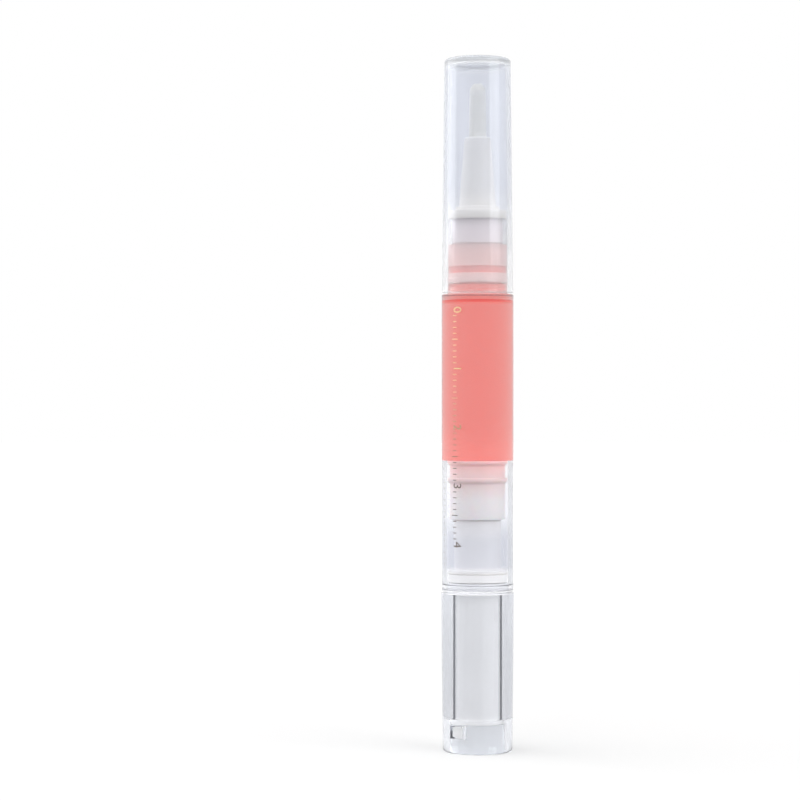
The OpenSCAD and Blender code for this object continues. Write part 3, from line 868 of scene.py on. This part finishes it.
knob = turned("knob_shell", [
    (recess_r, above),
    (recess_r, below),
    (recess_r, 0),
    *arc((knob_foot_r - foot_round, foot_round), foot_round, -90, 0),
    (knob_foot_r + taper * (below - foot_round), below),
    (knob_foot_r + taper * (above - foot_round), above),
    *arc((knob_top_r - top_round, knob_len - top_round), top_round, 0, 90),
    (collar_r, knob_len),
    (collar_r, snap_z - snap_h / 2),
    (snap_r, snap_z - snap_h / 4),
    (snap_r, snap_z + snap_h / 4),
    (collar_r, snap_z + snap_h / 2),
    (collar_r, collar_top.z),
    (knob_bore_r, collar_top.z),
    (knob_bore_r, recess_top),
    (recess_r, recess_top),
    (recess_r, above),
], steps=180)
for side in (0, math.pi):
    angle = window_angle + side
    middle = (recess_r + knob_top_r) / 2
    place = (middle * math.cos(angle), middle * math.sin(angle), window_low + window_h / 2)
    cut(knob, block((2 * (knob_top_r - recess_r), window_w, window_h), place, angle), "DIFFERENCE")
soften(knob, 0.06 * MM, segments=2)
knob_glass, tree, shader = clear_plastic("knob_plastic")

# Where the bore's wall turns from a window into a mirror, a dark line is painted into the plastic's colour
# and transmission: a painted dark reflection.
line = ramp(
    tree,
    mirror_at(tree, knob_bore_r),
    (0.07, 0.94),
    (0.09, 0.8),
    (0.13, 0.74),
    (0.16, 0.1),
    (0.99, 0.1),
    (1.0, 0.66),
)
frost_low = knob_len - frost_depth
frosted_collar = rise(tree, frost_low, knob_len, 1.0, 0.3)
tree.links.new(smallest(tree, line, frosted_collar), shader.inputs["Transmission Weight"])
painted_line_colour = between(tree, line, (0.08, 0.085, 0.1), (0.95, 0.96, 0.985), start=0.6, end=0.9)
tone = blended(tree, rise(tree, frost_low, knob_len), painted_line_colour, (0.96, 0.96, 0.98))
tree.links.new(tone, shader.inputs["Base Color"])
see_through(tree, shader, (0.98, 0.98, 0.98), deep_tone, density=36)
knob.data.materials.append(knob_glass)
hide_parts("knob")
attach(knob, "knob")

# End plug
# A clear disc with a skirt, pushed into the knob's foot. Its two latches sit in the knob's
# windows, and its skirt holds the sleeve's foot flange.
plug_glass, tree, shader = clear_plastic("plug_plastic")
milky = between(tree, noise(tree, 90), (0.97, 0.975, 0.98), (0.99, 0.995, 1.0))
tree.links.new(milky, shader.inputs["Base Color"])
shader.inputs["Transmission Weight"].default_value = 0.7
see_through(tree, shader, (0.98, 0.98, 0.98), deep_tone, density=10)
finish("end_plug", plug_glass)

# Cap
# A clear, slightly tapered cap with a closed flat end, pushed over the neck until it almost
# meets the barrel's shoulder.
cap_low, cap_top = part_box("cap")
cap_mouth_r = cap_top.x
cap_top_r = 6.0 * MM
cap_wall = 0.85 * MM
cap_round = 0.6 * MM
ceiling_z = cap_top.z - 0.95 * MM
land_r = 5.5 * MM
land_top = cap_low.z + 16 * MM
milk_fade = 2 * MM
cap_inner_r = cap_top_r - cap_wall

cap = turned("cap_shell", [
    (0, ceiling_z),
    *reversed(arc((cap_inner_r - cap_round, ceiling_z - cap_round), cap_round, 0, 90)),
    (land_r, land_top),
    (land_r, cap_low.z),
    (cap_mouth_r, cap_low.z),
    *arc((cap_top_r - cap_round, cap_top.z - cap_round), cap_round, 0, 90),
    (0, cap_top.z),
])
soften(cap, 0.1 * MM)
cap_glass, tree, shader = clear_plastic("cap_plastic")
# The cap's tint changes with height: almost clear over the neck and in a thin band at the ceiling, bluer
# between, and grey at the closed end. The clear parts are painted light on the neck and under the ceiling
# seen through the cap. The plastic is the same all along.
glassy = (0.83, 0.845, 0.89)
tone = ramp(
    tree,
    rise(tree, cap_low.z, cap_top.z),
    (0.1, (1.0, 0.99, 0.99)),
    (0.45, glassy),
    (0.95, glassy),
    (0.975, (0.97, 0.975, 0.985)),
    (1.0, (0.64, 0.66, 0.67)),
)
tree.links.new(tone, shader.inputs["Base Color"])
end_frost = rise(tree, ceiling_z - 0.8 * MM, ceiling_z - 0.2 * MM, 0.96, 0.55)
# Where the inner wall is a mirror from inside, the transmission drops: painted shade along the cap's edges.
inner_mid_r = (land_r + cap_inner_r) / 2
mirror = mirror_at(tree, inner_mid_r, land_r - inner_mid_r + 0.1 * MM)
painted_edge_shade = ramp(tree, mirror, (0.5, 0.96), (0.99, 0.82))
milk = rise(tree, land_top - milk_fade, land_top + milk_fade, 0.93, 0.86)
tree.links.new(smallest(tree, end_frost, painted_edge_shade, milk), shader.inputs["Transmission Weight"])
see_through(tree, shader, (0.995, 0.995, 0.995), deep_tone, density=55)
cap.data.materials.append(cap_glass)
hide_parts("cap")
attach(cap, "cap")

# Studio
# A pale floor and a white room, which glass and gloss also see, with a soft box on each side
# and a level camera at the photograph's angle.
floor_size = 6.0
shadow_reach = 0.15
near_glow = 0.31
far_glow = 0.63
room_light = 0.88
view_from = (-14.03 * MM, -420 * MM, 63.38 * MM)
view_lens = 104.5
most_bounces = 32


def seen_directly(tree):
    """1 for what the camera sees straight or through glass and gloss, 0 for light on dull surfaces."""
    path = tree.nodes.new("ShaderNodeLightPath")
    total = path.outputs["Is Camera Ray"]
    for kind in ("Is Glossy Ray", "Is Transmission Ray"):
        total = figure(tree, "MAXIMUM", total, path.outputs[kind])
    first = figure(tree, "LESS_THAN", path.outputs["Diffuse Depth"], 0.5)
    return figure(tree, "MULTIPLY", total, first)


bpy.ops.object.select_all(action="DESELECT")
bpy.ops.mesh.primitive_plane_add(size=floor_size, location=(0, 0, 0))
floor = bpy.context.object
floor.name = "floor"
paper, tree, shader = new_material("floor_paper")
glow = spread(tree, radius_on(tree), shadow_reach, 4 * shadow_reach, near_glow, far_glow)
glow = figure(tree, "MULTIPLY", seen_directly(tree), glow)
tree.links.new(glow, shader.inputs["Emission Strength"])
shader.inputs["Base Color"].default_value = (0.5, 0.5, 0.5, 1)
shader.inputs["Roughness"].default_value = 0.9
shader.inputs["Specular IOR Level"].default_value = 0.0
shader.inputs["Emission Color"].default_value = (1, 1, 1, 1)
floor.data.materials.append(paper)

world = bpy.data.worlds.new("white_room")
bpy.context.scene.world = world
world.use_nodes = True
tree = world.node_tree
back = tree.nodes["Background"]
back.inputs["Color"].default_value = (1, 1, 1, 1)
light = spread(tree, seen_directly(tree), 0, 1, room_light, 1.0)
tree.links.new(light, back.inputs["Strength"])


def soft_box(name, place, aim, size, radiance):
    """A rectangular lamp that faces a point."""
    lamp = bpy.data.lights.new(name, "AREA")
    lamp.shape = "RECTANGLE"
    lamp.size, lamp.size_y = size
    lamp.energy = radiance * math.pi * size[0] * size[1]
    holder = bpy.data.objects.new(name, lamp)
    holder.location = place
    holder.rotation_euler = (Vector(aim) - Vector(place)).to_track_quat("-Z", "Y").to_euler()
    bpy.context.scene.collection.objects.link(holder)


middle = (0, 0, 0.06)
soft_box("left_box", (-1.15, 0.29, 0.8), middle, (1.2, 1.4), 1.7)
soft_box("right_box", (1.02, -0.61, 0.8), middle, (1.0, 1.4), 1.8)
soft_box("top_box", (-0.65, -0.75, 1.3), middle, (1.4, 1.0), 1.7)

camera = bpy.data.cameras.new("camera")
camera.lens = view_lens
camera.sensor_width = 36
holder = bpy.data.objects.new("camera", camera)
holder.location = view_from
holder.rotation_euler = (math.pi / 2, 0, 0)
bpy.context.scene.collection.objects.link(holder)
scene = bpy.context.scene
scene.camera = holder
scene.view_settings.view_transform = "Standard"
scene.cycles.max_bounces = most_bounces
scene.cycles.transmission_bounces = most_bounces
scene.cycles.transparent_max_bounces = most_bounces
scene.cycles.diffuse_bounces = most_bounces // 2
